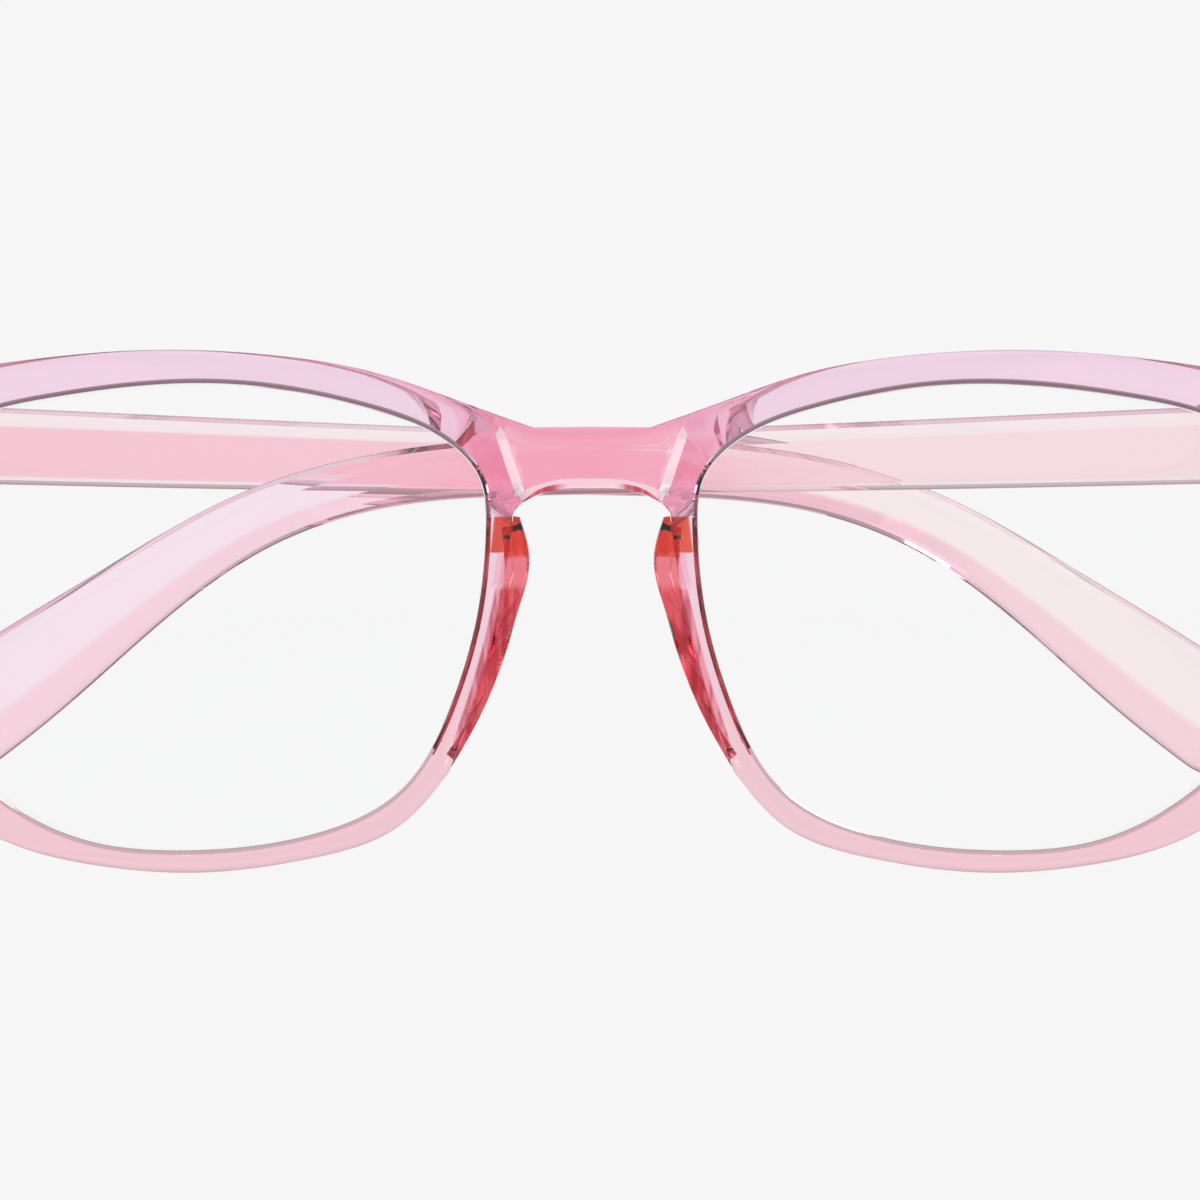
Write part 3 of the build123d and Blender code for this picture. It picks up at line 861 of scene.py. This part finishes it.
def arm_plastic(name, middle, ear, ear_low, bend_low):
    """Straight part with a deeper band between pale bevels; ear end paler as a painted highlight, with a
    deeper lower third; top and bottom edges with painted shade.
    """
    kit, flow = clear_plastic(name, *ARM_VOLUME)
    reach, up, _ = kit.axes(kit.marks)
    band = kit.product(kit.rise(up, *BAND_LOW), kit.rise(up, *BAND_HIGH))
    straight_part = kit.mix(band, ARM_BEVEL, middle)
    # The ear end's upper part is painted pale as a highlight
    ear_part = kit.mix(kit.rise(up, *EAR_LOW), ear, ear_low)
    colour = kit.mix(kit.rise(reach, *EAR_START), straight_part, ear_part)
    bend = kit.product(kit.rise(reach, *BEND_START), kit.rise(reach, *BEND_END), kit.rise(up, *BEND_LOW))
    colour = kit.mix(bend, colour, bend_low)
    # Painted shade along the temple's top and bottom edges
    edges = kit.math("MAXIMUM", kit.rise(up, *EDGE_LOW), kit.rise(up, *EDGE_HIGH))
    colour = kit.mix(edges, colour, ARM_EDGE_SHADE)
    kit.set(Base_Color=kit.mix(kit.product(flow, 0.04), colour, ARM_FLOW_MARK))
    return kit.material


def pad_plastic():
    """Deeper red where the pad meets the bridge, then crimson with streaks along its length."""
    kit, _ = clear_plastic("red_pad_plastic", *PAD_VOLUME)
    _, _, z = kit.axes()
    streaks = kit.noise(1500.0, 4.0, (1.0, 0.35, 0.12))
    long_red = kit.mix(kit.rise(streaks, *STREAKS), *PAD_LONG_REDS)
    colour = kit.mix(kit.rise(z, *WAIST_LOW), long_red, PAD_WAIST)
    top_red = kit.mix(kit.rise(streaks, *TOP_STREAKS), *PAD_TOP_REDS)
    kit.set(Base_Color=kit.mix(kit.rise(z, *PAD_TOP_LOW), colour, top_red))
    return kit.material


def lens_glass():
    """Clear glass with a faint cool unevenness and little glare."""
    kit = Shader("coated_lens")
    tint = kit.mix(kit.noise(30.0), *LENS_TINTS)
    kit.set(Base_Color=tint, Roughness=0.0, IOR=1.5, Transmission_Weight=1.0, Specular_IOR_Level=0.12)
    return kit.material


def metal(name, colour, low, high):
    """Polished or drawn metal with fine tool marks."""
    kit = Shader(name)
    marks = kit.noise(900.0, 4.0)
    bump = kit.add("ShaderNodeBump")
    bump.inputs["Strength"].default_value = 0.05
    bump.inputs["Distance"].default_value = 0.00002
    kit.feed(bump.inputs["Height"], marks)
    kit.set(Base_Color=(*colour, 1), Metallic=1.0, Roughness=kit.rise(marks, 0.0, 1.0, low, high),
            Normal=bump.outputs["Normal"])
    return kit.material


def build_floor():
    """A wide matt floor that glows as pale as the backdrop."""
    bpy.ops.mesh.primitive_grid_add(x_subdivisions=8, y_subdivisions=8, size=60.0)
    floor = bpy.context.object
    floor.name = "floor"
    kit = Shader("pale_floor")
    kit.set(Base_Color=(0.05, 0.05, 0.05, 1), Roughness=1.0, Specular_IOR_Level=0.0,
            Emission_Color=(1, 1, 1, 1), Emission_Strength=FLOOR_GLOW)
    floor.data.materials.append(kit.material)


def build_world():
    """Even white studio to the eye, with a darker ceiling that gives clear edges their outline."""
    world = bpy.data.worlds.new("studio")
    bpy.context.scene.world = world
    world.use_nodes = True
    tree = world.node_tree
    back = tree.nodes["Background"]
    coords = tree.nodes.new("ShaderNodeTexCoord")
    split = tree.nodes.new("ShaderNodeSeparateXYZ")
    tree.links.new(coords.outputs["Generated"], split.inputs["Vector"])
    ramp_node = tree.nodes.new("ShaderNodeValToRGB")
    ramp_node.color_ramp.elements[0].position = 0.30
    ramp_node.color_ramp.elements[0].color = (BACKDROP, BACKDROP, BACKDROP, 1)
    ramp_node.color_ramp.elements[1].position = 0.62
    ramp_node.color_ramp.elements[1].color = (CEILING, CEILING, CEILING, 1)
    tree.links.new(split.outputs["Z"], ramp_node.inputs["Fac"])
    tree.links.new(ramp_node.outputs["Color"], back.inputs["Color"])


def build_light(name, place, size, power):
    """A soft box that faces the glasses."""
    data = bpy.data.lights.new(name, "AREA")
    data.shape = "RECTANGLE"
    data.size, data.size_y = size
    data.energy = power
    lamp = bpy.data.objects.new(name, data)
    bpy.context.scene.collection.objects.link(lamp)
    lamp.location = place
    lamp.rotation_euler = (Vector(LIT_POINT) - Vector(place)).to_track_quat("-Z", "Y").to_euler()


def build_camera():
    """Level with the glasses, straight in front and far off, so that the view is nearly parallel."""
    data = bpy.data.cameras.new("camera")
    data.sensor_width = SENSOR_WIDTH
    data.lens = LENS_LENGTH
    data.clip_start, data.clip_end = 0.01, 100.0
    camera = bpy.data.objects.new("camera", data)
    bpy.context.scene.collection.objects.link(camera)
    rims_y = cad_low.y + RIMS_BEHIND_FRONT
    distance = VIEW_WIDTH / 2 / (SENSOR_WIDTH / 2 / LENS_LENGTH)
    camera.location = (VIEW_X, rims_y - distance, VIEW_Z)
    camera.rotation_euler = (math.radians(90), 0, 0)
    bpy.context.scene.camera = camera


def main():
    bpy.context.scene.view_settings.view_transform = "Standard"
    build_camera()
    build_world()
    build_floor()
    for light in LIGHTS:
        build_light(*light)
    shell = front_plastic()
    arms = {name: arm_plastic(f"pink_temple_{name}", *ARM_COLOURS[name]) for name in SIDES}
    pad = pad_plastic()
    glass = lens_glass()
    nickel = metal("polished_nickel", (0.80, 0.79, 0.77), 0.12, 0.25)
    steel = metal("spring_steel", (0.55, 0.56, 0.58), 0.25, 0.4)
    build_front(shell)
    for name, side in SIDES.items():
        build_lens(f"clear_lens_{name}", side, glass)
        build_pad(f"bridge_pad_{name}", side, pad)
        build_arm(f"arm_shell_{name}", name, arms[name])
        build_spring(f"coil_spring_{name}", name, steel)
        for part in HINGE_PARTS:
            node = frame["nodes"][f"{part}_{name}"]
            node.data.materials.clear()
            node.data.materials.append(nickel)


main()
